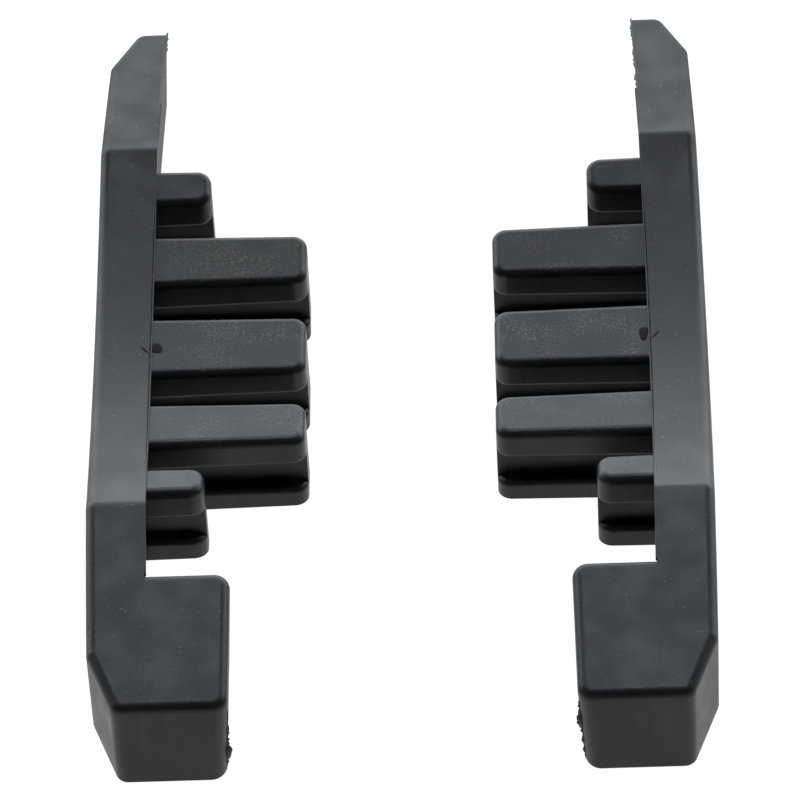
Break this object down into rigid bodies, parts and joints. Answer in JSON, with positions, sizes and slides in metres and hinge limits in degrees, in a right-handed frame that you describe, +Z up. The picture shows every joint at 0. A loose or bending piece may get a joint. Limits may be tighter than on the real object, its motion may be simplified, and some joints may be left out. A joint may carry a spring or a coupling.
{
  "type": "skate blade guard pair",
  "caption": "Left and right one-piece moulded side guards: a wavy bar with rounded I-section lugs pointing inwards and a solid block at one end.",
  "frame": {"origin": "on the surface that the pair stands on, midway between the two guards and midway along their length", "axes": "+Z up; +Y along the guards, from the end with the block to the bare end; +X from the left guard to the right one"},
  "size_m": [0.0764, 0.12, 0.0187],
  "materials": {
    "black_moulding": "matt black hard moulded polymer with a soft sheen, fine scuffs and specks"
  },
  "bodies": {
    "left": {"left_guard": "black_moulding"},
    "right": {"right_guard": "black_moulding"}
  },
  "joints": [
    {"name": "pair_slide", "type": "slide", "parent": "left", "child": "right", "axis": [1, 0, 0], "range_m": [-0.0229, 0.04]}
  ]
}
